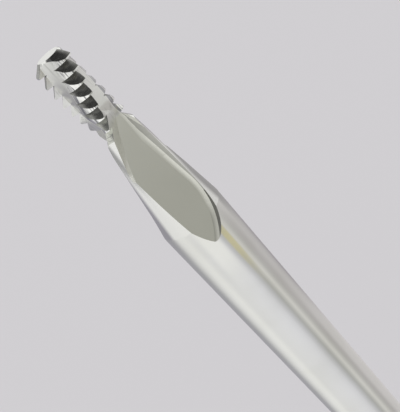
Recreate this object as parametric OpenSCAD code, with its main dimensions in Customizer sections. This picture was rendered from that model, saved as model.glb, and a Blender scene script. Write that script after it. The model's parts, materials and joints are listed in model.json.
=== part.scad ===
// Engine-driven endodontic file, latch type, standing on its handle with the cutting tip up.
// Units are millimetres. The tool axis is Z and the latch shoulder of the handle is z = 0.

/* [Shaft] */
// Diameter of the round shaft
shaft_d = 1.2; // [1.0:0.05:1.5]
// Length of the blade in front of the handle
front_len = 16.96; // [14:0.01:21]
// Length of the tang pressed into the handle
tang_len = 6; // [4:0.5:7]
// Chamfer at the end of the tang
tang_chamfer = 0.15; // [0.05:0.05:0.3]

/* [Cutting head] */
// Diameter over the first tooth crest, at the tip
head_d = 0.665; // [0.5:0.005:0.9]
// Diameter over the last tooth crest, where the neck begins
neck_d = 0.725; // [0.6:0.005:1]
// Depth of the grooves between the teeth
tooth_depth = 0.115; // [0.06:0.005:0.14]
// Distance from the tip to the first tooth crest
first_crest = 0.136; // [0.06:0.002:0.2]
// Distance from one tooth to the next
tooth_pitch = 0.1935; // [0.15:0.0005:0.25]
// Number of teeth along the head
tooth_count = 8; // [5:1:10]
// Width of the flat on each tooth crest
crest_w = 0.02; // [0.01:0.002:0.06]
// Slope of the flank that faces the tip, from the cross plane
front_flank = 54; // [30:1:55]
// Diameter of the end face
end_d = 0.37; // [0.3:0.01:0.6]
// Length of the conical neck behind the head
neck_len = 1.894; // [1.2:0.002:2.4]

/* [Flutes] */
// Number of cutting lands
land_count = 3; // [3:1:3]
// Direction of the first cutting edge at the tip, from +X
edge_start = -27.4; // [-180:0.1:180]
// Turn of the flutes per millimetre of length
helix_rate = 55.2; // [30:0.2:70]
// Easing of the turn along the run-out, in degrees per square millimetre
helix_ease = 12; // [0:1:16]
// Angle from a cutting edge back to the normal of its relief, at the tip
relief_lag = 51.4; // [40:0.1:60]
// Loss of that angle per millimetre of length
relief_rate = 3.75; // [0:0.05:6]
// Height of the rounded relief over the straight line from its heel to the edge, at the tip
bulge_tip = 0.096; // [0:0.002:0.12]
// Loss of that height per millimetre of length, as far as the run-out
bulge_rate = 0.0375; // [0:0.0005:0.05]
// Angle from a cutting edge to the normal of the flute floor in front of it
floor_lead = 26.5; // [20:0.5:50]
// Distance of the flute floor from the axis along the head
floor_r = 0.207; // [0.18:0.001:0.28]
// Angle from a cutting edge to the foot of its rake face
rake_lead = 1; // [-5:1:10]
// Length of the helical part, from the tip
helix_len = 2.25; // [2:0.01:2.4]
// Steps along the helical part
helix_steps = 45; // [24:3:60]
// Distance from the tip to where the flutes begin to open into their run-outs
open_start = 0.98; // [0.8:0.02:1.2]
// Distance from the tip to where the flat floor of the run-out begins
open_end = 1.33; // [1.3:0.01:1.6]
// Direction of the first run-out floor, from +X
runout_dir = -75; // [-180:1:180]
// Rise of the run-out floor per millimetre of length
runout_rise = 0.205; // [0.15:0.005:0.24]
// Distance from the tip to the end of the flute run-out
runout_len = 3.908; // [3.2:0.004:5]
// Offset of the floor's left border where the floor begins
border_start = 0.132; // [0:0.002:0.2]
// Slant of that border at first
border_slant = 0.75; // [0.4:0.01:1]
// Straightening of the border along the floor
border_turn = 0.204; // [0:0.001:0.4]
// Radius of the wheel that ground the run-out
wheel_r = 1.32; // [0.9:0.02:2]
// Offset of the wheel's rim to the right of the flat's middle
wheel_reach = 0.33; // [0.2:0.002:0.6]
// Distance from the tip to the wheel's centre
wheel_at = 2.89; // [2.4:0.01:3.6]
// Tilt of the wheel's path in the floor
wheel_tilt = 4.2; // [0:0.1:8]
// Start of the wall that the wheel's rim leaves, behind the tip
wall_start = 1.3; // [1:0.01:2]
// Place where that wall has its full slope, behind the tip
wall_end = 2; // [1.5:0.01:2.25]
// Slope of the wheel's rim, from the floor's normal
rim_slope = 45; // [0:1:60]

/* [Latch handle] */
// Diameter of the latch shank that the handpiece holds
latch_d = 2.35; // [2.34:0.005:2.35]
// Length of the latch shank
latch_len = 11; // [9:0.5:14]
// Length of the driving flat at its end
flat_len = 4.9; // [4:0.1:6]
// Distance of the driving flat from the axis
flat_off = 0.6; // [0.5:0.05:0.9]
// Diameter at the bottom of the latch groove
groove_d = 1.7; // [1.5:0.05:1.9]
// Width of the latch groove
groove_w = 0.95; // [0.8:0.05:1.1]
// Thickness of the button behind the latch groove
button_len = 0.65; // [0.5:0.05:0.9]
// Chamfer round the end of the shank
latch_chamfer = 0.2; // [0.1:0.05:0.3]
// Diameter of the collar in front of the shoulder
collar_d = 2.9; // [2.6:0.1:3.4]
// Length of the collar
collar_len = 4; // [3:0.5:6]
// Length of the conical nose at the collar's front
nose_len = 0.8; // [0.4:0.1:1.2]
// Diameter of the flat front face
nose_d = 1.9; // [1.7:0.1:2.4]
// Chamfer at the shoulder
shoulder_chamfer = 0.15; // [0.05:0.05:0.3]

/* [Colour rings] */
// Diameter of the seat cut for each ring
ring_seat_d = 2; // [1.8:0.05:2.6]
// Outer diameter of each ring
ring_d = 3.0; // [2.9:0.05:3.4]
// Width of each ring
ring_w = 0.7; // [0.5:0.05:1]
// Height of the rear ring above the shoulder
rear_ring_at = 0.65; // [0.4:0.05:1]
// Height of the front ring above the shoulder
front_ring_at = 1.95; // [1.6:0.05:2.3]
// Rounding chamfer on the ring edges
ring_chamfer = 0.1; // [0.05:0.05:0.2]

/* [Depth stop] */
// Outer diameter of the silicone stop
stop_d = 4.2; // [3.6:0.1:5]
// Thickness of the stop
stop_t = 1.6; // [1:0.1:2.2]
// Radial clearance of the stop on the shaft
stop_clear = 0.03; // [0.01:0.01:0.1]
// Distance from the axis to the point of the teardrop
stop_point = 3.1; // [2.6:0.1:3.6]
// Width of the blunt end of the point
stop_blunt = 0.5; // [0.3:0.1:0.8]
// Thickness of the point
stop_point_t = 0.9; // [0.6:0.1:1]
// Angle from the point to where its flanks sink into the round body
stop_flank = 60; // [50:1:64]
// Chamfer round the stop's edges
stop_chamfer = 0.25; // [0.1:0.05:0.4]
// Depth of the dimple round the hole
stop_dimple = 0.3; // [0.1:0.05:0.5]
// Diameter of the dimple at the top
stop_dimple_d = 2.8; // [2:0.1:3]
// Gap between the parked stop and the handle
stop_gap = 0.05; // [0.02:0.01:0.2]

/* [Hidden] */
$fn = 96;
eps = 0.01;
shaft_r = shaft_d / 2;
head_r = head_d / 2;
neck_r = neck_d / 2;
tip_z = collar_len + front_len;
tang_z = collar_len - tang_len;
front_run = tooth_depth * tan(front_flank);
back_run = tooth_pitch - front_run - crest_w;
head_len = first_crest + crest_w + (tooth_count - 1) * tooth_pitch;
helix_z = tip_z - helix_len;
land_step = 360 / land_count;
edge_proud = 0.006;
relief_part = 0.25;
runout_out = [cos(runout_dir), sin(runout_dir)];
runout_across = [-sin(runout_dir), cos(runout_dir)];
rim_h = 0.2;
runout_slope = atan(runout_rise);
side_parts = 4;
latch_r = latch_d / 2;
collar_r = collar_d / 2;
stop_z = collar_len + stop_gap;
stop_sink = 0.1;

// A point at a distance and an angle from the axis
function polar(r, a) = [r * cos(a), r * sin(a)];

// A point turned about the axis
function turned_by(p, a) = [p[0] * cos(a) - p[1] * sin(a), p[0] * sin(a) + p[1] * cos(a)];

// The radius over the crests at a distance from the tip, on the head's slight taper
function crest_r(l) = head_r + (neck_r - head_r) * (l - first_crest) / (head_len - first_crest);

// The groove in front of one tooth, as points of the turned profile from the shaft towards the tip
function groove_points(i) =
    let (crest = first_crest + (tooth_count - 1 - i) * tooth_pitch)
    let (root = crest - front_run, next = root - back_run)
    [
        [crest_r(crest), tip_z - crest],
        [crest_r(root) - tooth_depth, tip_z - root],
        [crest_r(next), tip_z - next]
    ];

// The radius of the turned body at a distance from the tip, over the crests and along the neck
function body_r(l) =
    l < head_len ? crest_r(l) : neck_r + (shaft_r - neck_r) * (l - head_len) / neck_len;

// How far a length has come from one mark to the next, from 0 to 1, evenly or softly
function share(l, from, to) = max(0, min(1, (l - from) / (to - from)));
function soft_share(l, from, to) = let (t = share(l, from, to)) t * t * (3 - 2 * t);

// The crossing of two lines, each at a distance from the axis in a direction
function meet(d, a, e, b) = [d * sin(b) - e * sin(a), e * cos(a) - d * cos(b)] / sin(b - a);

// Directions and distances of the flute's faces at a distance from the tip
function edge_dir(l) = edge_start - helix_rate * l + helix_ease * pow(max(0, l - open_end), 2);
function edge_r(l) = body_r(l) + edge_proud;
function relief_back(l) = relief_lag - relief_rate * l;
function bulge_at(l) = bulge_tip - bulge_rate * min(l, open_end);
function runout_r(l) = shaft_r - runout_rise * (runout_len - l);

// The left border of the run-out floor and the foot of the wall at its right
function border_at(l) =
    let (u = l - open_end)
    border_start - border_slant * u + border_turn * u * u;
function wall_at(l) =
    let (run = wheel_at - helix_len + (helix_len - l) / cos(runout_slope))
    wheel_reach + wheel_r * (1 / cos(wheel_tilt) - 1) - run * tan(wheel_tilt);

// A point part of the way along one side of the section, raised on the rounded relief
function side_point(from, to, t, bulge) =
    let (along = to - from)
    from + along * t + [along[1], -along[0]] / norm(along) * bulge * 4 * t * (1 - t);

// One third of the section on the head: cutting edge, foot of the rake face, heel of the next land
function head_points(l) =
    let (edge = edge_dir(l), lag = relief_back(l), floor_dir = edge + floor_lead, foot = edge + rake_lead)
    [
        polar(edge_r(l), edge),
        polar(floor_r / cos(foot - floor_dir), foot),
        meet(floor_r, floor_dir, edge_r(l) * cos(lag), edge + land_step - lag)
    ];

// The same third where the run-out floor lies in it: cutting edge, the floor's two borders
function runout_points(l) =
    [
        polar(edge_r(l), edge_dir(l)),
        runout_r(l) * runout_out + border_at(l) * runout_across,
        runout_r(l) * runout_out + wall_at(l) * runout_across
    ];

// The third of the section, with a fourth point that climbs from the relief to the top of the rim's wall
function land_points(l) =
    let (s = soft_share(l, open_start, open_end), w = soft_share(l, wall_start, wall_end))
    let (third = (1 - s) * head_points(l) + s * runout_points(l), next = turned_by(third[0], land_step))
    let (top = third[2] + rim_h * (runout_out + tan(rim_slope) * runout_across))
    concat(third, [(1 - w) * side_point(third[2], next, relief_part, bulge_at(l)) + w * top]);

// The section of the three lands, with points between the corners and the relief rounded
function land_section(l) =
    let (third = land_points(l), bulge = bulge_at(l) * pow(1 - relief_part, 2))
    let (corners = [for (k = [0 : land_count - 1], p = third) turned_by(p, k * land_step)])
    let (n = len(corners))
    [
        for (i = [0 : n - 1], j = [0 : side_parts - 1])
            side_point(corners[i], corners[(i + 1) % n], j / side_parts, i % 4 == 3 ? bulge : 0)
    ];

module blade_turned() {
    teeth = [for (i = [0 : tooth_count - 2]) each groove_points(i)];
    rotate_extrude()
        polygon(concat(
            [
                [0, tang_z],
                [shaft_r - tang_chamfer, tang_z],
                [shaft_r, tang_z + tang_chamfer],
                [shaft_r, tip_z - head_len - neck_len],
                [neck_r, tip_z - head_len]
            ],
            teeth,
            [
                [head_r, tip_z - first_crest],
                [end_d / 2, tip_z],
                [0, tip_z]
            ]
        ));
}

// The lands, carried down the helix ring by ring
module land_prism() {
    rings = [
        for (i = [0 : helix_steps])
            -eps + (helix_len + 2 * eps) * i / helix_steps
    ];
    n = 4 * land_count * side_parts;
    points = [for (l = rings, p = land_section(l)) [p[0], p[1], tip_z - l]];
    sides = [
        for (i = [0 : helix_steps - 1], j = [0 : n - 1], half = [0, 1])
            let (a = i * n + j, b = i * n + (j + 1) % n)
            half == 0 ? [a, b, b + n] : [a, b + n, a + n]
    ];
    top = [for (j = [0 : n - 1]) n - 1 - j];
    bottom = [for (j = [0 : n - 1]) helix_steps * n + j];
    polyhedron(points, concat([top], sides, [bottom]));
}

// What the flute wheel removes along the helical part
module helical_flutes() {
    difference() {
        translate([0, 0, helix_z])
            cylinder(r = shaft_r, h = helix_len + 1);
        land_prism();
    }
}

// The wheel's last position, its flat face on the floor of the run-out and its rim at the end wall
module runout_wheel() {
    wheel_h = shaft_r;
    top_r = wheel_r + wheel_h * tan(rim_slope);
    intersection() {
        rotate(runout_dir)
            translate([runout_r(helix_len), 0, helix_z])
                rotate([0, 90 - runout_slope, 0])
                    translate([wheel_at - helix_len, wheel_reach - wheel_r, 0])
                        rotate(wheel_tilt)
                            hull()
                                for (x = [-2 * wheel_r, 0])
                                    translate([x, 0, 0])
                                        cylinder(r1 = wheel_r, r2 = top_r, h = wheel_h);
        translate([-2 * shaft_d, -2 * shaft_d, helix_z - 4 * shaft_d])
            cube([4 * shaft_d, 4 * shaft_d, 4 * shaft_d]);
    }
}

module file_blade() {
    color([0.78, 0.78, 0.76])
        difference() {
            blade_turned();
            helical_flutes();
            for (k = [0 : land_count - 1])
                rotate(k * land_step)
                    runout_wheel();
        }
}

module handle_turned() {
    rotate_extrude()
        polygon([
            [0, -latch_len],
            [latch_r - latch_chamfer, -latch_len],
            [latch_r, -latch_len + latch_chamfer],
            [latch_r, -latch_len + button_len],
            [groove_d / 2, -latch_len + button_len],
            [groove_d / 2, -latch_len + button_len + groove_w],
            [latch_r, -latch_len + button_len + groove_w],
            [latch_r, 0],
            [collar_r - shoulder_chamfer, 0],
            [collar_r, shoulder_chamfer],
            [collar_r, collar_len - nose_len],
            [nose_d / 2, collar_len],
            [0, collar_len]
        ]);
}

module ring_seat(z) {
    translate([0, 0, z])
        difference() {
            cylinder(d = collar_d + 1, h = ring_w);
            translate([0, 0, -eps])
                cylinder(d = ring_seat_d, h = ring_w + 2 * eps);
        }
}

module latch_handle() {
    color([0.80, 0.62, 0.28])
        difference() {
            handle_turned();
            ring_seat(rear_ring_at);
            ring_seat(front_ring_at);
            translate([0, 0, tang_z - 0.2])
                cylinder(r = shaft_r, h = collar_len - tang_z + 0.2 + eps);
            translate([flat_off, -latch_d, -latch_len - eps])
                cube([latch_d, 2 * latch_d, flat_len + eps]);
        }
}

module colour_ring(z) {
    translate([0, 0, z])
        rotate_extrude()
            polygon([
                [ring_seat_d / 2, 0],
                [ring_d / 2 - ring_chamfer, 0],
                [ring_d / 2, ring_chamfer],
                [ring_d / 2, ring_w - ring_chamfer],
                [ring_d / 2 - ring_chamfer, ring_w],
                [ring_seat_d / 2, ring_w]
            ]);
}

module rear_ring() {
    color([0.10, 0.45, 0.22])
        colour_ring(rear_ring_at);
}

module front_ring() {
    color([0.10, 0.45, 0.22])
        colour_ring(front_ring_at);
}

module stop_body() {
    bore_r = shaft_r + stop_clear;
    rotate_extrude()
        polygon([
            [bore_r, 0],
            [stop_d / 2 - stop_chamfer, 0],
            [stop_d / 2, stop_chamfer],
            [stop_d / 2, stop_t - stop_chamfer],
            [stop_d / 2 - stop_chamfer, stop_t],
            [stop_dimple_d / 2, stop_t],
            [bore_r, stop_t - stop_dimple]
        ]);
}

// The point of the teardrop, which marks the way a curved root canal bends
module stop_pointer() {
    root = polar(stop_d / 2 - stop_sink, stop_flank);
    translate([0, 0, (stop_t - stop_point_t) / 2])
        linear_extrude(height = stop_point_t)
            polygon([
                [root[0], -root[1]],
                [stop_point, -stop_blunt / 2],
                [stop_point, stop_blunt / 2],
                root
            ]);
}

module depth_stop() {
    color([0.16, 0.32, 0.62])
        translate([0, 0, stop_z])
            union() {
                stop_body();
                stop_pointer();
            }
}

file_blade();
latch_handle();
rear_ring();
front_ring();
depth_stop();
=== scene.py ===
import json
import math
import bmesh
import bpy
from mathutils import Matrix, Vector

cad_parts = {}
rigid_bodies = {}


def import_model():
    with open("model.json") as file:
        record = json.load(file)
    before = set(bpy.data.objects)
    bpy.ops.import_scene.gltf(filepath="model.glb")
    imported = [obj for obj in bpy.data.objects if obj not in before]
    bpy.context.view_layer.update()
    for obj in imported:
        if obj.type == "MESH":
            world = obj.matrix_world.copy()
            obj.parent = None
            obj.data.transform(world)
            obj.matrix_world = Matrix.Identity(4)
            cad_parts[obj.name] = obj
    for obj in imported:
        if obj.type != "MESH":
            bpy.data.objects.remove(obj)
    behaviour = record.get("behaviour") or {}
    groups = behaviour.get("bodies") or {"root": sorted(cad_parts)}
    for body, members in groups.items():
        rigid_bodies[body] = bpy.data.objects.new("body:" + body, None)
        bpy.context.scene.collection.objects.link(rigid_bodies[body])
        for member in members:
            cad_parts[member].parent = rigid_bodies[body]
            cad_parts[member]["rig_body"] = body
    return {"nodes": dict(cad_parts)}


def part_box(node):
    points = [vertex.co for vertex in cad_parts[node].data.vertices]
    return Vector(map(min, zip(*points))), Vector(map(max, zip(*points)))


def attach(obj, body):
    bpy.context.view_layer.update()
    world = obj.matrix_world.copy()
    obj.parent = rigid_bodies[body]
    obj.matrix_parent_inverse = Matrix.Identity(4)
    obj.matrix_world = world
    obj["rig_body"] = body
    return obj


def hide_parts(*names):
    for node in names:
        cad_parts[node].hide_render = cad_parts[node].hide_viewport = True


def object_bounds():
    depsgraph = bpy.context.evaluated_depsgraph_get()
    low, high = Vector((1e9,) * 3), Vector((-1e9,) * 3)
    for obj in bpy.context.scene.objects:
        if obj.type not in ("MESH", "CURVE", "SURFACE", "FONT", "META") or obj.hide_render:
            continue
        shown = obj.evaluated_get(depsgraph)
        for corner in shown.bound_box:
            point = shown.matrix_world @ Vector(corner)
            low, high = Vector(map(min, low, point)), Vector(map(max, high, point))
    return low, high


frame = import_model()
cadLow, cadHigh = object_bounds()
scene = bpy.context.scene
mm = 0.001  # pieces are modelled in millimetres and scaled once, when they are finished
weld = 1e-6  # points closer than this are one point
crispFrom = 30  # degrees: edges of the plain pieces stay crisp from this angle on
roundSteps = 4  # facets across a rounded corner of a turned outline


# a socket with maths: an expression on sockets adds its Math nodes
class Wire:
    def __init__(self, tree, socket=None):
        self.tree = tree
        self.socket = socket

    def node(self, kind, settings=None, sockets=None, output=0):
        made = self.tree.nodes.new(kind)
        for key, value in (settings or {}).items():
            if key == "stops":
                setStops(made.color_ramp, value)
            else:
                setattr(made, key, value)
        for key, value in (sockets or {}).items():
            if isinstance(value, Wire):
                self.tree.links.new(value.socket, made.inputs[key])
            else:
                made.inputs[key].default_value = value
        return Wire(self.tree, made.outputs[output] if made.outputs else None)

    def maths(self, operation, first, second):
        return self.node("ShaderNodeMath", {"operation": operation}, {0: first, 1: second})

    def __add__(self, other):
        return self.maths("ADD", self, other)

    def __sub__(self, other):
        return self.maths("SUBTRACT", self, other)

    def __mul__(self, other):
        return self.maths("MULTIPLY", self, other)

    def __truediv__(self, other):
        return self.maths("DIVIDE", self, other)

    def __radd__(self, other):
        return self.maths("ADD", other, self)

    def __rsub__(self, other):
        return self.maths("SUBTRACT", other, self)

    def __rmul__(self, other):
        return self.maths("MULTIPLY", other, self)

    def __rtruediv__(self, other):
        return self.maths("DIVIDE", other, self)

    def __pow__(self, other):
        return self.maths("POWER", self, other)


def setStops(ramp, stops):
    while len(ramp.elements) < len(stops):
        ramp.elements.new(1.0)
    for element, (place, colour) in zip(ramp.elements, stops):
        element.position = place
        element.color = (*colour, 1.0)


def newMaterial(name):
    made = bpy.data.materials.new(name)
    made.use_nodes = True
    made.node_tree.nodes.clear()
    return made, Wire(made.node_tree)


def mixColour(graph, factor, first, second):
    sockets = {0: factor, 6: first, 7: second}  # its colour sockets share their names, so they go by number
    return graph.node("ShaderNodeMix", {"data_type": "RGBA"}, sockets, 2)


def objectPlace(graph):
    return graph.node("ShaderNodeTexCoord", output="Object")


def stretchedNoise(graph, stretch, scale, detail):
    place = graph.node("ShaderNodeMapping", None, {"Vector": objectPlace(graph), "Scale": stretch})
    return graph.node("ShaderNodeTexNoise", None, {"Vector": place, "Scale": scale, "Detail": detail})


def splitAxes(graph, vector):
    split = graph.node("ShaderNodeSeparateXYZ", None, {"Vector": vector})
    return [Wire(graph.tree, socket) for socket in split.socket.node.outputs]


def colourRamp(graph, stops, place):
    return graph.node("ShaderNodeValToRGB", {"stops": stops}, {"Fac": place})


def bumpFrom(graph, pattern, strength, depth):
    return graph.node("ShaderNodeBump", None, {"Strength": strength, "Distance": depth, "Height": pattern})


def finishSurface(graph, sockets):
    shader = graph.node("ShaderNodeBsdfPrincipled", None, sockets)
    graph.node("ShaderNodeOutputMaterial", None, {"Surface": shader})


def smoothBlend(graph, value, low, high):
    settings = {"interpolation_type": "SMOOTHSTEP"}
    return graph.node("ShaderNodeMapRange", settings, {"Value": value, "From Min": low, "From Max": high})


# what all finishes share; the bump depths and the scatter are in metres
surface = {
    "even": (1, 1, 1), "noiseMean": 0.5, "stainSpan": (0.35, 0.7), "mottleSpan": (0.3, 0.75),
    "markHeight": 2e-6, "skinHeight": 4e-6, "mottleRoughness": 0.12, "scatter": (0.0004, 0.0004, 0.0004),
}


# metal: base colour with faint stains, another colour lower down, painted as light on some finishes and as
# shade on others, and tool marks that lie along one direction
def metalMaterial(name, tone):
    made, graph = newMaterial(name)
    stains = stretchedNoise(graph, surface["even"], tone["stainScale"], detail=3)
    marks = stretchedNoise(graph, tone["markStretch"], tone["markScale"], detail=4)
    stained = smoothBlend(graph, stains, *surface["stainSpan"])
    colour = mixColour(graph, stained, tone["colour"], tone["stain"])
    if "lower" in tone:
        height = splitAxes(graph, objectPlace(graph))[2]
        colour = mixColour(graph, smoothBlend(graph, height, *tone["lowerSpan"]), tone["lower"], colour)
    if "scratch" in tone:
        colour = mixColour(graph, smoothBlend(graph, marks, *tone["scratchSpan"]), colour, tone["scratch"])
    finishSurface(graph, {
        "Base Color": colour,
        "Metallic": 1.0,
        "Roughness": tone["roughness"] + tone["roughnessSpread"] * (marks - surface["noiseMean"]),
        "Normal": bumpFrom(graph, marks, tone["markDepth"], surface["markHeight"]),
    })
    return made


# moulded plastic and silicone: a dusty mottle and a fine skin
def mouldedMaterial(name, tone):
    made, graph = newMaterial(name)
    mottle = stretchedNoise(graph, surface["even"], tone["mottleScale"], detail=4)
    skin = stretchedNoise(graph, surface["even"], tone["skinScale"], detail=2)
    worn = smoothBlend(graph, mottle, *surface["mottleSpan"])
    finishSurface(graph, {
        "Base Color": mixColour(graph, worn, tone["colour"], tone["worn"]),
        "Roughness": tone["roughness"] + surface["mottleRoughness"] * (mottle - surface["noiseMean"]),
        "Subsurface Weight": tone["subsurface"],
        "Subsurface Radius": surface["scatter"],
        "Normal": bumpFrom(graph, skin, tone["skinDepth"], surface["skinHeight"]),
    })
    return made


# the metal finishes, several of them one steel painted lighter or darker as highlight and shade; a lowerSpan
# gives heights on the blade, in metres
finishes = {
    "shaftSteel": {  # turned shank, neck, crests and end face
        "colour": (0.80, 0.80, 0.79, 1), "stain": (0.76, 0.76, 0.74, 1), "stainScale": 900,
        "markStretch": (1, 1, 60), "markScale": 900, "markDepth": 0.04,
        "roughness": 0.12, "roughnessSpread": 0.05,
    },
    "groundFlat": {  # floor of a run-out
        "colour": (0.71, 0.71, 0.65, 1), "stain": (0.69, 0.69, 0.63, 1), "stainScale": 1500,
        "markStretch": (40, 40, 1), "markScale": 1800, "markDepth": 0.012,
        "roughness": 0.3, "roughnessSpread": 0.03,
    },
    "headFlat": {  # painted highlight, brighter than the shank: heels of the first teeth, and the reliefs along the run-outs
        "colour": (0.96, 0.96, 0.94, 1), "stain": (0.92, 0.92, 0.90, 1), "stainScale": 3000,
        "markStretch": (9, 9, 1), "markScale": 1800, "markDepth": 0.05, "scratch": (0.62, 0.62, 0.62, 1),
        "scratchSpan": (0.5, 0.75), "roughness": 0.15, "roughnessSpread": 0.08,
    },
    "landRelief": {  # relief behind the teeth of each land, painted brighter than the shank as a highlight
        "colour": (0.96, 0.96, 0.94, 1), "stain": (0.88, 0.88, 0.87, 1), "stainScale": 6000,
        "markStretch": (22, 22, 1), "markScale": 1800, "markDepth": 0.05, "scratch": (0.28, 0.28, 0.29, 1),
        "scratchSpan": (0.48, 0.64), "roughness": 0.15, "roughnessSpread": 0.08,
    },
    "fluteWall": {  # steep side of a flute, with painted shade lower down
        "colour": (0.84, 0.84, 0.83, 1), "stain": (0.80, 0.80, 0.79, 1), "stainScale": 6000,
        "markStretch": (22, 22, 1), "markScale": 1800, "markDepth": 0.05, "scratch": (0.34, 0.34, 0.36, 1),
        "lower": (0.42, 0.42, 0.44, 1), "lowerSpan": (0.02015, 0.02060),
        "scratchSpan": (0.50, 0.70), "roughness": 0.25, "roughnessSpread": 0.08,
    },
    "fluteFloor": {  # rake face, floor and corner of a flute
        "colour": (0.80, 0.80, 0.78, 1), "stain": (0.76, 0.76, 0.74, 1), "stainScale": 3000,
        "markStretch": (9, 9, 1), "markScale": 1800, "markDepth": 0.05, "scratch": (0.60, 0.60, 0.58, 1),
        "scratchSpan": (0.5, 0.75), "roughness": 0.35, "roughnessSpread": 0.08,
    },
    "softFlat": {  # rake strip beside a run-out and the top of its wall
        "colour": (0.80, 0.80, 0.75, 1), "stain": (0.77, 0.77, 0.72, 1), "stainScale": 3000,
        "markStretch": (9, 9, 1), "markScale": 1800, "markDepth": 0.03,
        "roughness": 0.5, "roughnessSpread": 0.05,
    },
    "cornerFoot": {  # foot of the rounded corner in a run-out: painted highlight, lighter than the floor, with painted shade lower down
        "colour": (0.80, 0.80, 0.74, 1), "stain": (0.78, 0.78, 0.72, 1), "stainScale": 1500,
        "markStretch": (40, 40, 1), "markScale": 1800, "markDepth": 0.012,
        "lower": (0.53, 0.53, 0.485, 1), "lowerSpan": (0.01740, 0.01775),
        "roughness": 0.3, "roughnessSpread": 0.03,
    },
    "rimWall": {  # wall that the wheel's rim leaves along a run-out, painted dark as shade
        "colour": (0.44, 0.44, 0.41, 1), "stain": (0.42, 0.42, 0.39, 1), "stainScale": 1500,
        "markStretch": (1, 1, 20), "markScale": 1800, "markDepth": 0.02,
        "roughness": 0.3, "roughnessSpread": 0.03,
    },
    "shadedEndWall": {  # the same wall where it ends the run-out, painted darker still as shade
        "colour": (0.20, 0.20, 0.18, 1), "stain": (0.15, 0.15, 0.14, 1), "stainScale": 3000,
        "markStretch": (1, 1, 20), "markScale": 4000, "markDepth": 0.05,
        "roughness": 0.3, "roughnessSpread": 0.08,
    },
    "paintedToothFlank": {  # turned sides of the teeth, painted dark as shade and painted lighter lower down
        "colour": (0.31, 0.31, 0.30, 1), "stain": (0.24, 0.24, 0.23, 1), "stainScale": 6000,
        "markStretch": (1, 1, 6), "markScale": 9000, "markDepth": 0.1, "scratch": (0.42, 0.42, 0.40, 1),
        "scratchSpan": (0.5, 0.75),
        "lower": (0.85, 0.86, 0.80, 1), "lowerSpan": (0.01950, 0.02005),
        "roughness": 0.26, "roughnessSpread": 0.1,
    },
    "goldPlate": {  # latch handle
        "colour": (0.86, 0.64, 0.28, 1), "stain": (0.80, 0.57, 0.23, 1), "stainScale": 700,
        "markStretch": (1, 1, 80), "markScale": 500, "markDepth": 0.12,
        "roughness": 0.2, "roughnessSpread": 0.1,
    },
}
moulded = {
    "ringPlastic": {
        "colour": (0.05, 0.34, 0.14, 1), "worn": (0.07, 0.40, 0.18, 1), "mottleScale": 900,
        "skinScale": 9000, "skinDepth": 0.1, "roughness": 0.3, "subsurface": 0.0,
    },
    "silicone": {
        "colour": (0.06, 0.17, 0.47, 1), "worn": (0.09, 0.22, 0.54, 1), "mottleScale": 700,
        "skinScale": 12000, "skinDepth": 0.25, "roughness": 0.55, "subsurface": 0.15,
    },
}
materials = {name: metalMaterial(name, tone) for name, tone in finishes.items()}
materials.update({name: mouldedMaterial(name, tone) for name, tone in moulded.items()})
print("materials:", ", ".join(materials))


def polar(radius, degrees):
    turn = math.radians(degrees)
    return Vector((radius * math.cos(turn), radius * math.sin(turn), 0))


def asObject(name, mesh):
    mesh.normal_update()
    data = bpy.data.meshes.new(name)
    mesh.to_mesh(data)
    mesh.free()
    made = bpy.data.objects.new(name, data)
    scene.collection.objects.link(made)
    return made


def onlyKind(parts, kind):
    return [part for part in parts if isinstance(part, kind)]


def roundOff(mesh, parts, affect, radius, steps):
    bmesh.ops.bevel(mesh, geom=parts, affect=affect, offset=radius, offset_type="OFFSET", segments=steps,
                    profile=0.5, clamp_overlap=True, material=-1)


# raises all faces by a height and gives the points of the new ones
def raiseFaces(mesh, height):
    lifted = bmesh.ops.extrude_face_region(mesh, geom=mesh.faces[:])["geom"]
    raised = onlyKind(lifted, bmesh.types.BMVert)
    bmesh.ops.translate(mesh, verts=raised, vec=(0, 0, height))
    return raised


# cuts the mesh by a plane, drops the side that is named, and gives the edges of the cut
def sliceMesh(mesh, place, normal, **dropped):
    every = mesh.verts[:] + mesh.edges[:] + mesh.faces[:]
    cut = bmesh.ops.bisect_plane(mesh, geom=every, plane_co=place, plane_no=normal, **dropped)
    return onlyKind(cut["geom_cut"], bmesh.types.BMEdge)


# an outline of (radius, height) points, its corners rounded if asked, turned once round the Z axis
def turnedPiece(name, outline, steps, rounding=0):
    mesh = bmesh.new()
    corners = [mesh.verts.new((radius, 0, height)) for radius, height in outline]
    for pair in zip(corners, corners[1:]):
        mesh.edges.new(pair)
    if min(radius for radius, height in outline) > 0:
        mesh.edges.new((corners[-1], corners[0]))
    if rounding:
        bends = [corner for corner in corners if len(corner.link_edges) == 2]
        roundOff(mesh, bends, "VERTICES", rounding, roundSteps)
    bmesh.ops.spin(mesh, geom=mesh.verts[:] + mesh.edges[:], cent=(0, 0, 0), axis=(0, 0, 1),
                   angle=2 * math.pi, steps=steps, use_merge=True)
    bmesh.ops.remove_doubles(mesh, verts=mesh.verts, dist=weld)
    bmesh.ops.recalc_face_normals(mesh, faces=mesh.faces)
    return asObject(name, mesh)


# runs a Boolean and keeps its result; new faces keep the cutter's material
def shapeWith(target, cutter, operation):
    step = target.modifiers.new(operation, "BOOLEAN")
    step.object = cutter
    step.operation = operation
    step.solver = "EXACT"
    step.material_mode = "TRANSFER"
    done = target.evaluated_get(bpy.context.evaluated_depsgraph_get())
    result = bpy.data.meshes.new_from_object(done)
    target.modifiers.clear()
    old = target.data
    target.data = result
    bpy.data.meshes.remove(old)
    bpy.data.objects.remove(cutter)


def finishPiece(piece, node, crispAngle):
    piece.data.transform(Matrix.Scale(mm, 4))
    piece.data.shade_smooth()
    piece.data.set_sharp_from_angle(angle=math.radians(crispAngle))
    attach(piece, frame["nodes"][node]["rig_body"])
    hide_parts(node)
    print("made", piece.name, len(piece.data.polygons), "faces")


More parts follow.
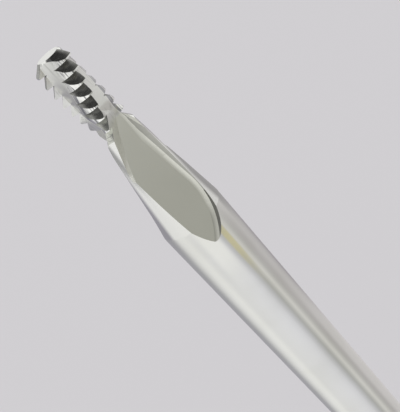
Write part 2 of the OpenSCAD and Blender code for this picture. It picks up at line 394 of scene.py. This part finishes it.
# the ground blade: turned teeth and neck, three helical flutes and their flat run-outs;
# lengths are in millimetres, turns in degrees, and depths are measured from the tip
bladeShape = {
    "shaftD": 1.2, "tangChamfer": 0.15,
    "headD": 0.665, "neckD": 0.725, "toothDepth": 0.115, "firstCrest": 0.136, "toothPitch": 0.1935,
    "toothCount": 8, "crestWidth": 0.02, "frontFlank": 54, "endD": 0.37, "neckLength": 1.894,
    "landCount": 3, "edgeStart": -27.4, "helixRate": 55.2, "helixEase": 12, "edgeProud": 0.006,
    "reliefLag": 51.4, "reliefRate": 3.75, "reliefPart": 0.25, "bulgeTip": 0.096, "bulgeRate": 0.0375,
    "floorLead": 26.5, "floorR": 0.207, "rakeLead": 1, "openStart": 0.98, "openEnd": 1.33,
    "helixLength": 2.25, "runoutDir": -75, "runoutRise": 0.205, "runoutLength": 3.908,
    "borderStart": 0.132, "borderSlant": 0.75, "borderTurn": 0.204,
    "wheelR": 1.37, "wheelReach": 0.33, "wheelAt": 2.89, "wheelTilt": 4.2,
    "wallStart": 1.3, "wallEnd": 2.0, "rimSlope": 45, "rimHeight": 0.2,
    "wheelCorner": 0.09, "cornerPart": 0.35,
    # flatFrom to heelFrom, and flankFrom, choose where the painted highlights and painted shade fall on the
    # blade
    "flatFrom": 0.9995, "footFrom": 0.93, "darkFrom": 0.16, "wallParts": 3, "heelFrom": 62,
    "flankFrom": 0.2, "endMargin": 0.0001, "cutterR": 1, "cutterReach": 0.01, "cutterMargin": 1,
    "turnSteps": 192, "helixSteps": 96, "sideParts": 12, "wheelSteps": 512, "cutterSteps": 64, "crispFrom": 5,
}
# the sides of a land in order, each with its finish along the head and along the run-out
landSides = (
    ("fluteFloor", "softFlat"), ("fluteFloor", "groundFlat"), ("fluteFloor", "cornerFoot"),
    ("fluteWall", "rimWall"), ("landRelief", "headFlat"),
)
landFinishes = sorted({name for side in landSides for name in side})
bladeLow, bladeHigh = [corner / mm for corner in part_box("file_blade")]
tipZ = bladeHigh.z
tangZ = bladeLow.z
shaftR = bladeShape["shaftD"] / 2
helixZ = tipZ - bladeShape["helixLength"]
landStep = 360 / bladeShape["landCount"]
runoutSlope = math.atan(bladeShape["runoutRise"])
rimLean = math.tan(math.radians(bladeShape["rimSlope"]))
headLength = (bladeShape["firstCrest"] + bladeShape["crestWidth"]
              + (bladeShape["toothCount"] - 1) * bladeShape["toothPitch"])


def crestRadius(depth):
    part = (depth - bladeShape["firstCrest"]) / (headLength - bladeShape["firstCrest"])
    return (bladeShape["headD"] + (bladeShape["neckD"] - bladeShape["headD"]) * part) / 2


def bladeOutline():
    shape = bladeShape
    frontRun = shape["toothDepth"] * math.tan(math.radians(shape["frontFlank"]))
    outline = [
        (0, tangZ),
        (shaftR - shape["tangChamfer"], tangZ),
        (shaftR, tangZ + shape["tangChamfer"]),
        (shaftR, tipZ - headLength - shape["neckLength"]),
        (shape["neckD"] / 2, tipZ - headLength),
    ]
    for tooth in reversed(range(1, shape["toothCount"])):
        crest = shape["firstCrest"] + tooth * shape["toothPitch"]
        root = crest - frontRun
        front = crest - shape["toothPitch"] + shape["crestWidth"]
        outline += [
            (crestRadius(crest), tipZ - crest),
            (crestRadius(root) - shape["toothDepth"], tipZ - root),
            (crestRadius(front), tipZ - front),
        ]
    outline += [
        (crestRadius(shape["firstCrest"]), tipZ - shape["firstCrest"]),
        (shape["endD"] / 2, tipZ),
        (0, tipZ),
    ]
    return outline


def paintBy(piece, names, choose):
    for name in names:
        piece.data.materials.append(materials[name])
    for face in piece.data.polygons:
        face.material_index = choose(face)


def softShare(value, start, end):
    part = max(0, min(1, (value - start) / (end - start)))
    return part * part * (3 - 2 * part)


def landTurn(land):
    return Matrix.Rotation(math.radians(land * landStep), 3, "Z")


def runoutRadius(depth):
    return shaftR - bladeShape["runoutRise"] * (bladeShape["runoutLength"] - depth)


# the crossing of two lines, each at a distance from the axis in a direction
def meet(firstRadius, firstTurn, secondRadius, secondTurn):
    a = math.radians(firstTurn)
    b = math.radians(secondTurn)
    x = firstRadius * math.sin(b) - secondRadius * math.sin(a)
    y = secondRadius * math.cos(a) - firstRadius * math.cos(b)
    return Vector((x, y, 0)) / math.sin(b - a)


# a point part of the way along one side of the section, raised on the rounded relief
def sidePoint(start, end, part, bulge):
    outward = (end - start).cross(Vector((0, 0, 1))).normalized()
    return start.lerp(end, part) + 4 * part * (1 - part) * bulge * outward


def reliefBulge(depth):
    return bladeShape["bulgeTip"] - bladeShape["bulgeRate"] * min(depth, bladeShape["openEnd"])


# one third of the section: a cutting edge, its floor's two borders, and the relief or wall of the next land
def landPoints(depth):
    shape = bladeShape
    neckPart = max(0, depth - headLength) / shape["neckLength"]
    bodyR = crestRadius(min(depth, headLength)) + (shaftR - shape["neckD"] / 2) * neckPart
    edgeR = bodyR + shape["edgeProud"]
    opened = depth - shape["openEnd"]
    edge = shape["edgeStart"] - shape["helixRate"] * depth + shape["helixEase"] * max(0, opened) ** 2
    lag = shape["reliefLag"] - shape["reliefRate"] * depth
    floorTurn = edge + shape["floorLead"]
    foot = edge + shape["rakeLead"]
    onHead = (
        polar(shape["floorR"] / math.cos(math.radians(foot - floorTurn)), foot),
        meet(shape["floorR"], floorTurn, edgeR * math.cos(math.radians(lag)), edge + landStep - lag),
    )
    out = polar(1, shape["runoutDir"])
    across = polar(1, shape["runoutDir"] + 90)
    tilt = math.radians(shape["wheelTilt"])
    run = shape["wheelAt"] - shape["helixLength"] + (shape["helixLength"] - depth) / math.cos(runoutSlope)
    wall = shape["wheelReach"] + shape["wheelR"] * (1 / math.cos(tilt) - 1) - run * math.tan(tilt)
    border = shape["borderStart"] - shape["borderSlant"] * opened + shape["borderTurn"] * opened ** 2
    onRunout = [runoutRadius(depth) * out + offset * across for offset in (border, wall)]
    opening = softShare(depth, shape["openStart"], shape["openEnd"])
    left, right = [head.lerp(flat, opening) for head, flat in zip(onHead, onRunout)]
    relief = sidePoint(right, polar(edgeR, edge + landStep), shape["reliefPart"], reliefBulge(depth))
    wallTop = right + shape["rimHeight"] * (out + rimLean * across)
    return [
        polar(edgeR, edge),
        left,
        right,
        relief.lerp(wallTop, softShare(depth, shape["wallStart"], shape["wallEnd"])),
    ]


# a closed ring of edges round the three lands: rake face, floor, rounded corner, wall and relief of each
def landRing(mesh, depth):
    shape = bladeShape
    edge, left, right, heel = landPoints(depth)
    room = min((left - right).length, (heel - right).length)
    corner = min(shape["wheelCorner"], shape["cornerPart"] * room)
    foot = right + corner * (left - right).normalized()
    climb = right + corner * (heel - right).normalized()
    bulge = reliefBulge(depth) * (1 - shape["reliefPart"]) ** 2
    parts = [step / shape["sideParts"] for step in range(shape["sideParts"])]
    third = [edge.lerp(left, part) for part in parts]
    third += [left.lerp(foot, part) for part in parts]
    third += [foot.lerp(right, part).lerp(right.lerp(climb, part), part) for part in parts]
    third += [climb.lerp(heel, part) for part in parts]
    third += [sidePoint(heel, landTurn(1) @ edge, part, bulge) for part in parts]
    ring = []
    for land in range(shape["landCount"]):
        for point in third:
            x, y, z = landTurn(land) @ point
            ring.append(mesh.verts.new((x, y, tipZ - depth)))
    return [mesh.edges.new(pair) for pair in zip(ring, ring[1:] + ring[:1])]


# how nearly a face lies in the plane of a run-out floor: 1 on the floor, less up the rounded corner
def floorShare(face):
    normal = polar(math.cos(runoutSlope), bladeShape["runoutDir"])
    normal.z = math.sin(runoutSlope)
    return max(abs(face.normal.dot(landTurn(land) @ normal)) for land in range(bladeShape["landCount"]))


# the finish of the side that a face of the lands is on, found from the order of its corners round the ring
def landFinish(face):
    sideParts = bladeShape["sideParts"]
    places = sorted(corner % (sideParts * len(landSides)) for corner in face.vertices)
    first = places[-1] if places[-1] - places[0] > 1 else places[0]
    headName, runoutName = landSides[first // sideParts]
    name = runoutName if face.center.z < tipZ - bladeShape["openEnd"] else headName
    # steep faces of the corner take the wall's painted shade, and the wall's painted shade stops after its
    # first few parts
    if name == "cornerFoot" and floorShare(face) < bladeShape["footFrom"]:
        name = "rimWall"
    elif name == "rimWall" and first % sideParts >= bladeShape["wallParts"]:
        name = "softFlat"
    return landFinishes.index(name)


# everything round the lands, along the helical part
def fluteCutter():
    shape = bladeShape
    reach = shape["cutterReach"]
    steps = shape["helixSteps"]
    length = shape["helixLength"] + 2 * reach
    mesh = bmesh.new()
    rings = [landRing(mesh, length * step / steps - reach) for step in range(steps + 1)]
    for pair in zip(rings, rings[1:]):
        bmesh.ops.bridge_loops(mesh, edges=pair[0] + pair[1])
    bmesh.ops.triangulate(mesh, faces=mesh.faces[:])
    for end in (rings[0], rings[-1]):
        bmesh.ops.edgeloop_fill(mesh, edges=end)
    bmesh.ops.recalc_face_normals(mesh, faces=mesh.faces)
    lands = asObject("lands", mesh)
    paintBy(lands, landFinishes, landFinish)
    height = shape["helixLength"] + shape["cutterMargin"]
    mesh = bmesh.new()
    bmesh.ops.create_cone(mesh, cap_ends=True, segments=shape["cutterSteps"], radius1=shape["cutterR"],
                          radius2=shape["cutterR"], depth=height)
    bmesh.ops.translate(mesh, verts=mesh.verts, vec=(0, 0, helixZ + height / 2))
    around = asObject("flutes", mesh)
    around.data.materials.append(materials["headFlat"])
    shapeWith(around, lands, "DIFFERENCE")
    return around


# the floor, then the foot of its rounded corner, then the wall in painted shade, darkest where it faces the
# shank
wheelFinishes = ["groundFlat", "cornerFoot", "rimWall", "shadedEndWall"]


def wheelFinish(face):
    share = floorShare(face)
    if share > bladeShape["flatFrom"]:
        return wheelFinishes.index("groundFlat")
    if share > bladeShape["footFrom"]:
        return wheelFinishes.index("cornerFoot")
    climb = math.sqrt(1 - share * share)
    heading = -(face.normal.z + share * math.sin(runoutSlope)) / (climb * math.cos(runoutSlope))
    return wheelFinishes.index("shadedEndWall" if heading > bladeShape["darkFrom"] else "rimWall")


# the wheel in its last place: half a disc that runs on as a slab towards the tip, with a leaning rim
def wheelCutter(land):
    shape = bladeShape
    mesh = bmesh.new()
    bmesh.ops.create_circle(mesh, cap_ends=True, segments=shape["wheelSteps"], radius=shape["wheelR"])
    middle = sliceMesh(mesh, (0, 0, 0), (1, 0, 0), clear_inner=True)
    slab = bmesh.ops.extrude_edge_only(mesh, edges=middle)["geom"]
    back = onlyKind(slab, bmesh.types.BMVert)
    bmesh.ops.translate(mesh, verts=back, vec=(-2 * shape["wheelR"], 0, 0))
    bmesh.ops.dissolve_edges(mesh, edges=middle)
    raised = raiseFaces(mesh, shaftR)
    grow = 1 + shaftR * rimLean / shape["wheelR"]
    bmesh.ops.scale(mesh, verts=raised, vec=(grow, grow, 1))
    low = [edge for edge in mesh.edges if max(corner.co.z for corner in edge.verts) < weld]
    roundOff(mesh, low, "EDGES", shape["wheelCorner"], shape["sideParts"])
    loose = [edge for edge in mesh.edges if not edge.link_faces]  # the bevel leaves a few
    bmesh.ops.delete(mesh, geom=loose, context="EDGES")
    ahead = shape["wheelAt"] - shape["helixLength"]
    place = Matrix.Rotation(math.radians(shape["runoutDir"] + land * landStep), 4, "Z")
    place @= Matrix.Translation((runoutRadius(shape["helixLength"]), 0, helixZ))
    place @= Matrix.Rotation(math.pi / 2 - runoutSlope, 4, "Y")
    place @= Matrix.Translation((ahead, shape["wheelReach"] - shape["wheelR"], 0))
    place @= Matrix.Rotation(math.radians(shape["wheelTilt"]), 4, "Z")
    mesh.transform(place)
    bmesh.ops.edgeloop_fill(mesh, edges=sliceMesh(mesh, (0, 0, helixZ), (0, 0, 1), clear_outer=True))
    bmesh.ops.recalc_face_normals(mesh, faces=mesh.faces)
    made = asObject("wheel", mesh)
    paintBy(made, wheelFinishes, wheelFinish)
    return made


# tooth flanks get painted shade, lighter towards the neck, but the heel of each land's first flank gets the
# painted highlight of the flats behind it
turnedFinishes = ["shaftSteel", "paintedToothFlank", "headFlat"]


def turnedFinish(face):
    shape = bladeShape
    x, y, z = face.center
    onHead = tipZ - headLength < z < tipZ - shape["endMargin"]
    if not onHead or abs(face.normal.z) < shape["flankFrom"]:
        return turnedFinishes.index("shaftSteel")
    behindEdge = (shape["edgeStart"] - math.degrees(math.atan2(y, x))) % landStep
    onHeel = z > tipZ - shape["firstCrest"] and behindEdge > shape["heelFrom"]
    return turnedFinishes.index("headFlat" if onHeel else "paintedToothFlank")


fileBlade = turnedPiece("file_blade_ground", bladeOutline(), bladeShape["turnSteps"])
paintBy(fileBlade, turnedFinishes, turnedFinish)
shapeWith(fileBlade, fluteCutter(), "DIFFERENCE")
for land in range(bladeShape["landCount"]):
    shapeWith(fileBlade, wheelCutter(land), "DIFFERENCE")
finishPiece(fileBlade, "file_blade", bladeShape["crispFrom"])

# the latch handle: turned and plated, with seats for the rings, a bore for the tang and a driving flat
handleShape = {
    "latchR": 1.175, "latchLength": 11, "latchChamfer": 0.2, "buttonLength": 0.65,
    "grooveR": 0.85, "grooveWidth": 0.95, "flatLength": 4.9, "flatOffset": 0.6,
    "collarR": 1.45, "collarLength": 4, "shoulderChamfer": 0.15, "noseR": 0.95, "noseLength": 0.8,
    "boreR": 0.6, "boreBottom": -2.2, "edge": 0.03, "turnSteps": 192,
    "cutterDepth": 1, "cutterWidth": 2,
}
ringShape = {
    "seatR": 1.0, "outerR": 1.5, "width": 0.7, "rearAt": 0.65, "frontAt": 1.95, "edge": 0.1, "turnSteps": 192,
}


def handleOutline():
    shape = handleShape
    buttonTop = shape["buttonLength"] - shape["latchLength"]
    outline = [
        (0, -shape["latchLength"]),
        (shape["latchR"] - shape["latchChamfer"], -shape["latchLength"]),
        (shape["latchR"], shape["latchChamfer"] - shape["latchLength"]),
        (shape["latchR"], buttonTop),
        (shape["grooveR"], buttonTop),
        (shape["grooveR"], buttonTop + shape["grooveWidth"]),
        (shape["latchR"], buttonTop + shape["grooveWidth"]),
        (shape["latchR"], 0),
        (shape["collarR"] - shape["shoulderChamfer"], 0),
        (shape["collarR"], shape["shoulderChamfer"]),
    ]
    for seat in (ringShape["rearAt"], ringShape["frontAt"]):
        outline += [
            (shape["collarR"], seat),
            (ringShape["seatR"], seat),
            (ringShape["seatR"], seat + ringShape["width"]),
            (shape["collarR"], seat + ringShape["width"]),
        ]
    outline += [
        (shape["collarR"], shape["collarLength"] - shape["noseLength"]),
        (shape["noseR"], shape["collarLength"]),
        (shape["boreR"], shape["collarLength"]),
        (shape["boreR"], shape["boreBottom"]),
        (0, shape["boreBottom"]),
    ]
    return outline


def flatCutter():
    shape = handleShape
    mesh = bmesh.new()
    bmesh.ops.create_cube(mesh, size=2)  # its half sizes are 1
    halfSizes = (shape["cutterDepth"], shape["cutterWidth"], shape["flatLength"])
    bmesh.ops.scale(mesh, verts=mesh.verts, vec=halfSizes)
    place = (shape["cutterDepth"] + shape["flatOffset"], 0, -shape["latchLength"])
    bmesh.ops.translate(mesh, verts=mesh.verts, vec=place)
    made = asObject("driving flat", mesh)
    made.data.materials.append(materials["goldPlate"])
    return made


latchHandle = turnedPiece("latch_handle_turned", handleOutline(), handleShape["turnSteps"],
                          handleShape["edge"])
latchHandle.data.materials.append(materials["goldPlate"])
shapeWith(latchHandle, flatCutter(), "DIFFERENCE")
finishPiece(latchHandle, "latch_handle", crispFrom)


# the colour rings: plastic bands with rounded edges, sunk in the collar
def makeRing(node, bottom):
    shape = ringShape
    top = bottom + shape["width"]
    outline = [
        (shape["seatR"], bottom),
        (shape["outerR"], bottom),
        (shape["outerR"], top),
        (shape["seatR"], top),
    ]
    ring = turnedPiece(node + "_moulded", outline, shape["turnSteps"], shape["edge"])
    ring.data.materials.append(materials["ringPlastic"])
    finishPiece(ring, node, crispFrom)


makeRing("rear_ring", ringShape["rearAt"])
makeRing("front_ring", ringShape["frontAt"])

# the depth stop: a soft teardrop with a dimple round its hole
stopShape = {
    "outerR": 2.1, "thickness": 1.6, "boreR": 0.63, "dimpleR": 1.4, "dimple": 0.3, "edge": 0.22,
    "pointAt": 3.1, "blunt": 0.5, "pointThickness": 0.9, "flankTurn": 60, "sink": 0.1, "pointEdge": 0.12,
    "bottom": 4.05, "turnSteps": 128, "pointSteps": 5,
}


def stopOutline():
    shape = stopShape
    top = shape["bottom"] + shape["thickness"]
    return [
        (shape["boreR"], shape["bottom"]),
        (shape["outerR"], shape["bottom"]),
        (shape["outerR"], top),
        (shape["dimpleR"], top),
        (shape["boreR"], top - shape["dimple"]),
    ]


def stopPointer():
    shape = stopShape
    root = polar(shape["outerR"] - shape["sink"], shape["flankTurn"])
    low = shape["bottom"] + (shape["thickness"] - shape["pointThickness"]) / 2
    halfSide = [(root.x, root.y), (shape["pointAt"], shape["blunt"] / 2)]
    places = [(x, -y) for x, y in halfSide] + halfSide[::-1]
    mesh = bmesh.new()
    mesh.faces.new([mesh.verts.new((x, y, low)) for x, y in places])
    raiseFaces(mesh, shape["pointThickness"])
    bmesh.ops.recalc_face_normals(mesh, faces=mesh.faces)
    roundOff(mesh, mesh.edges[:], "EDGES", shape["pointEdge"], shape["pointSteps"])
    made = asObject("stop point", mesh)
    made.data.materials.append(materials["silicone"])
    return made


depthStop = turnedPiece("depth_stop_moulded", stopOutline(), stopShape["turnSteps"], stopShape["edge"])
depthStop.data.materials.append(materials["silicone"])
shapeWith(depthStop, stopPointer(), "UNION")
finishPiece(depthStop, "depth_stop", crispFrom)

# the camera of the photograph, fitted to the shank, the neck and the run-out arc
view = {
    "place": (0, -9.6879, 22.8739),
    "rows": ((0.74083, 0.67144, -0.018487), (-0.33761, 0.34842, -0.87442), (-0.58068, 0.65404, 0.48481)),
    "lens": 58.107, "sensor": 36, "clip": (0.0005, 20),
}
lensData = bpy.data.cameras.new("view")
lensData.sensor_fit = "AUTO"
lensData.sensor_width = view["sensor"]
lensData.lens = view["lens"]
lensData.clip_start, lensData.clip_end = view["clip"]
viewer = bpy.data.objects.new("view", lensData)
scene.collection.objects.link(viewer)
viewer.matrix_world = Matrix.Translation(Vector(view["place"]) * mm) @ Matrix(view["rows"]).to_4x4()
scene.camera = viewer

# the stage: a pale floor, whose mirror image on metal has the light and dark sides of a light tent;
# a turn is the part of a full circle round the object, and the other places are metres from its axis
stage = {
    "floorColour": (0.648, 0.634, 0.642, 1),
    "nearTo": 0.042, "farFrom": 0.062,
    "farSides": (
        (0.00, (0.36, 0.35, 0.39)),
        (0.185, (0.38, 0.37, 0.41)),
        (0.23, (0.94, 0.94, 0.93)),
        (0.36, (1.00, 1.00, 0.98)),
        (0.51, (0.92, 0.92, 0.90)),
        (0.55, (0.44, 0.44, 0.41)),
        (0.62, (0.44, 0.44, 0.41)),
        (0.68, (0.80, 0.80, 0.78)),
        (0.86, (0.80, 0.79, 0.78)),
        (0.89, (0.58, 0.56, 0.56)),
        (0.93, (0.46, 0.44, 0.45)),
        (0.96, (0.30, 0.29, 0.31)),
        (1.00, (0.36, 0.35, 0.39)),
    ),
    "sides": (
        (0.00, (0.38, 0.37, 0.40)),
        (0.14, (0.42, 0.42, 0.44)),
        (0.17, (0.52, 0.52, 0.53)),
        (0.21, (0.74, 0.74, 0.73)),
        (0.25, (0.90, 0.90, 0.88)),
        (0.29, (0.94, 0.94, 0.91)),
        (0.34, (0.85, 0.85, 0.84)),
        (0.44, (0.86, 0.86, 0.87)),
        (0.50, (0.84, 0.84, 0.86)),
        (0.54, (0.78, 0.78, 0.80)),
        (0.58, (0.60, 0.60, 0.61)),
        (0.61, (0.49, 0.49, 0.47)),
        (0.655, (0.75, 0.74, 0.70)),
        (0.70, (0.54, 0.53, 0.51)),
        (0.735, (0.52, 0.50, 0.49)),
        (0.80, (0.60, 0.58, 0.57)),
        (0.86, (0.54, 0.52, 0.52)),
        (0.92, (0.40, 0.38, 0.39)),
        (1.00, (0.36, 0.34, 0.36)),
    ),
    # painted reflections: patches of light and shade in the floor's mirror image, each aimed at one place on
    # the blade
    "paintedReflections": (
        {  # painted reflection of a yellow streak on the shank, behind the run-out
            "tone": (0.69, 0.635, 0.39, 1), "turn": 0.615, "width": 0.038,
            "near": (0.0368, 0.043), "far": (0.046, 0.050),
        },
        {  # painted shade on the right edge of the neck
            "tone": (0.38, 0.37, 0.37, 1), "turn": 0.92, "width": 0.14,
            "near": (0.044, 0.052), "far": (0.080, 0.092),
        },
        {  # painted shade on the left edge of the neck
            "tone": (0.38, 0.38, 0.38, 1), "turn": 0.21, "width": 0.11,
            "near": (0.112, 0.134), "far": (0.200, 0.250),
        },
        {  # painted highlight on the shank, behind the run-out
            "tone": (1.00, 1.00, 0.97, 1), "turn": 0.46, "width": 0.10,
            "near": (0.037, 0.043), "far": (0.055, 0.065),
        },
        {  # painted highlight, lightening the right edge of the shank
            "tone": (0.67, 0.65, 0.64, 1), "turn": 0.86, "width": 0.14,
            "near": (0.000, 0.001), "far": (0.024, 0.034),
        },
    ),
    "floorSize": 4.0,
}
floorMesh = bmesh.new()
bmesh.ops.create_grid(floorMesh, x_segments=1, y_segments=1, size=stage["floorSize"])
bmesh.ops.translate(floorMesh, verts=floorMesh.verts, vec=(0, 0, cadLow.z))
floor = asObject("floor", floorMesh)
floorMaterial, graph = newMaterial("floor")
across, toward = splitAxes(graph, objectPlace(graph))[:2]
away = (across * across + toward * toward) ** 0.5
turnRound = graph.maths("ARCTAN2", across, 0 - toward) / (2 * math.pi) + 0.5
nearSide = colourRamp(graph, stage["sides"], turnRound)
farSide = colourRamp(graph, stage["farSides"], turnRound)
seen = mixColour(graph, smoothBlend(graph, away, stage["nearTo"], stage["farFrom"]), nearSide, farSide)
for reflectionPatch in stage["paintedReflections"]:
    aside = graph.node("ShaderNodeMath", {"operation": "ABSOLUTE"}, {0: turnRound - reflectionPatch["turn"]})
    share = 1 - smoothBlend(graph, aside, reflectionPatch["width"] / 2, reflectionPatch["width"])
    share = share * smoothBlend(graph, away, *reflectionPatch["near"]) * (1 - smoothBlend(graph, away, *reflectionPatch["far"]))
    seen = mixColour(graph, share, seen, reflectionPatch["tone"])
pale = graph.node("ShaderNodeBsdfDiffuse", None, {"Color": stage["floorColour"]})
image = graph.node("ShaderNodeEmission", None, {"Color": seen})
glossy = graph.node("ShaderNodeLightPath", output="Is Glossy Ray")
both = graph.node("ShaderNodeMixShader", None, {0: glossy, 1: pale, 2: image})
graph.node("ShaderNodeOutputMaterial", None, {"Surface": both})
floor.data.materials.append(floorMaterial)

# the world: even light all round, and on metal a bright rim under a dark roof, with a light panel on the left
roof = {
    "light": (0.98, 0.98, 1.0, 1),
    "panel": {
        "tone": (0.90, 0.90, 0.88, 1), "side": (-0.43, -0.31), "front": (-0.45, -0.34), "foot": (0.64, 0.72),
    },
    "stops": (
        (0.00, (0.40, 0.40, 0.38)),
        (0.08, (0.42, 0.42, 0.40)),
        (0.18, (0.90, 0.90, 0.88)),
        (0.35, (0.92, 0.92, 0.90)),
        (0.55, (0.80, 0.80, 0.78)),
        (0.73, (0.08, 0.08, 0.08)),
    ),
}
world = bpy.data.worlds.new("tent")
scene.world = world
world.use_nodes = True
world.node_tree.nodes.clear()
sky = Wire(world.node_tree)
sideways, frontways, upward = splitAxes(sky, sky.node("ShaderNodeTexCoord", output="Generated"))
panel = roof["panel"]
share = (1 - smoothBlend(sky, sideways, *panel["side"])) * smoothBlend(sky, frontways, *panel["front"])
share = share * smoothBlend(sky, upward, *panel["foot"])
tent = mixColour(sky, share, colourRamp(sky, roof["stops"], upward), panel["tone"])
mirror = sky.node("ShaderNodeLightPath", output="Is Glossy Ray")
shade = mixColour(sky, mirror, roof["light"], tent)
backdrop = sky.node("ShaderNodeBackground", None, {"Color": shade})
sky.node("ShaderNodeOutputWorld", None, {"Surface": backdrop})
scene.view_settings.view_transform = "Standard"
print("camera, floor and world are set")
